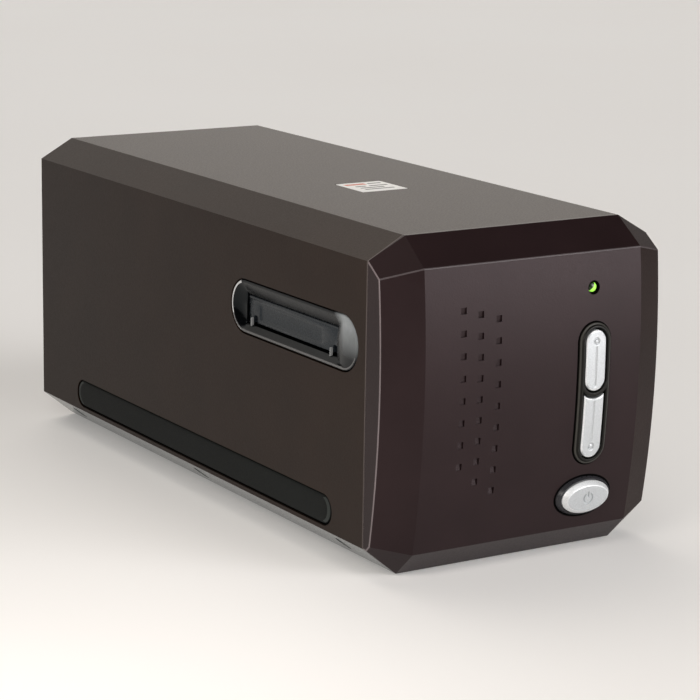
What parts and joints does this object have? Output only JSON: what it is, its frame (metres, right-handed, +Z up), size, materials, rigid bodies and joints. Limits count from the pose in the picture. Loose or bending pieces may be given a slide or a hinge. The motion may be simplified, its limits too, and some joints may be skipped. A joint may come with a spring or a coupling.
{
  "type": "film negative scanner",
  "caption": "Box-shaped film scanner with a curved front panel, push buttons and a hinged dust door over a film slot in each side.",
  "frame": {"origin": "bottom centre of the overall box, on the plane the rubber feet stand on", "axes": "+Z up, the front panel faces -Y, +X is the right-hand side seen from the front"},
  "size_m": [0.118, 0.272, 0.1194],
  "materials": {
    "shell_brown": "fine moulded texture, satin",
    "bezel_brown": "fine moulded texture, satin",
    "rubber": "matt",
    "gloss_black": "polished",
    "button_silver": "silver paint, satin",
    "light_guide": "clear, tinted by the light behind",
    "label": "printed film",
    "circuit_board": "solder mask",
    "black_plastic": "moulded",
    "steel": "ground",
    "zinc_sheet": "galvanised sheet",
    "brass": "machined",
    "white_plastic": "moulded",
    "mirror_glass": "front-surface mirror"
  },
  "bodies": {
    "chassis": {"outer_shell": "shell_brown", "front_bezel": "bezel_brown", "rear_panel": "shell_brown", "base_tray": "shell_brown", "rubber_feet": "rubber", "left_side_strip": "rubber", "right_side_strip": "rubber", "left_slot_bezel": "gloss_black", "right_slot_bezel": "gloss_black", "left_door_pin": "steel", "right_door_pin": "steel", "button_frame": "gloss_black", "power_button_collar": "gloss_black", "led_light_pipe": "light_guide", "front_board": "circuit_board", "tact_switches": "steel", "status_led": "light_guide", "top_label": "label", "frame_front_plate": "zinc_sheet", "frame_rear_plate": "zinc_sheet", "frame_left_plate": "zinc_sheet", "frame_right_plate": "zinc_sheet", "film_guide": "black_plastic", "film_guide_cover": "black_plastic", "holder_detent_spring": "steel", "guide_rods": "steel", "screw_bearings": "brass", "stepper_motor": "zinc_sheet", "motor_bracket": "zinc_sheet", "main_board": "circuit_board", "board_chips": "black_plastic", "usb_socket": "steel", "power_socket": "black_plastic", "panel_ribbon": "white_plastic", "home_sensor": "black_plastic", "base_screws": "steel", "chassis_screws": "steel"},
    "sled": {"scan_sled": "black_plastic", "sled_bushings": "brass", "drive_nut": "brass", "lamp_arm": "black_plastic", "lamp_board": "circuit_board", "lamp_diffuser": "light_guide", "fold_mirror": "mirror_glass", "mirror_holder": "black_plastic", "lens_barrel": "black_plastic", "lens_clamp": "zinc_sheet", "sensor_board": "circuit_board", "line_sensor": "black_plastic"},
    "lead_screw": {"lead_screw": "steel", "screw_gear": "white_plastic"},
    "motor_rotor": {"motor_shaft": "steel", "motor_pinion": "brass"},
    "left_door": {"left_dust_door": "gloss_black", "left_door_spring": "steel"},
    "right_door": {"right_dust_door": "gloss_black", "right_door_spring": "steel"},
    "upper_scan_button": {"upper_scan_button": "button_silver"},
    "lower_scan_button": {"lower_scan_button": "button_silver"},
    "power_button": {"power_button": "button_silver"}
  },
  "joints": [
    {"name": "sled_slide", "type": "slide", "parent": "chassis", "child": "sled", "axis": [0, 1, 0], "range_m": [0, 0.025]},
    {"name": "lead_screw_spin", "type": "hinge", "parent": "chassis", "child": "lead_screw", "pos_m": [0.044, 0, 0.04], "axis": [0, 1, 0], "range_deg": [0, 900]},
    {"name": "motor_spin", "type": "hinge", "parent": "chassis", "child": "motor_rotor", "pos_m": [0.04, 0.11, 0.05616], "axis": [0, 1, 0], "range_deg": [-1800, 0]},
    {"name": "left_door_hinge", "type": "hinge", "parent": "chassis", "child": "left_door", "pos_m": [-0.0549, -0.0654, 0.0834], "axis": [0, -1, 0], "range_deg": [0, 75], "stiffness_Nm_per_rad": 0.0008},
    {"name": "right_door_hinge", "type": "hinge", "parent": "chassis", "child": "right_door", "pos_m": [0.0549, -0.0654, 0.0834], "axis": [0, -1, 0], "range_deg": [0, 75], "stiffness_Nm_per_rad": 0.0008},
    {"name": "upper_button_press", "type": "slide", "parent": "chassis", "child": "upper_scan_button", "axis": [0, 1, 0], "range_m": [0, 0.001], "stiffness_N_per_m": 150},
    {"name": "lower_button_press", "type": "slide", "parent": "chassis", "child": "lower_scan_button", "axis": [0, 1, 0], "range_m": [0, 0.001], "stiffness_N_per_m": 150},
    {"name": "power_button_press", "type": "slide", "parent": "chassis", "child": "power_button", "axis": [0, 1, 0], "range_m": [0, 0.001], "stiffness_N_per_m": 150}
  ],
  "couplings": [
    {"joint": "lead_screw_spin", "follows": "sled_slide", "rad_per_m": 628.32},
    {"joint": "motor_spin", "follows": "sled_slide", "rad_per_m": -1256.6}
  ]
}
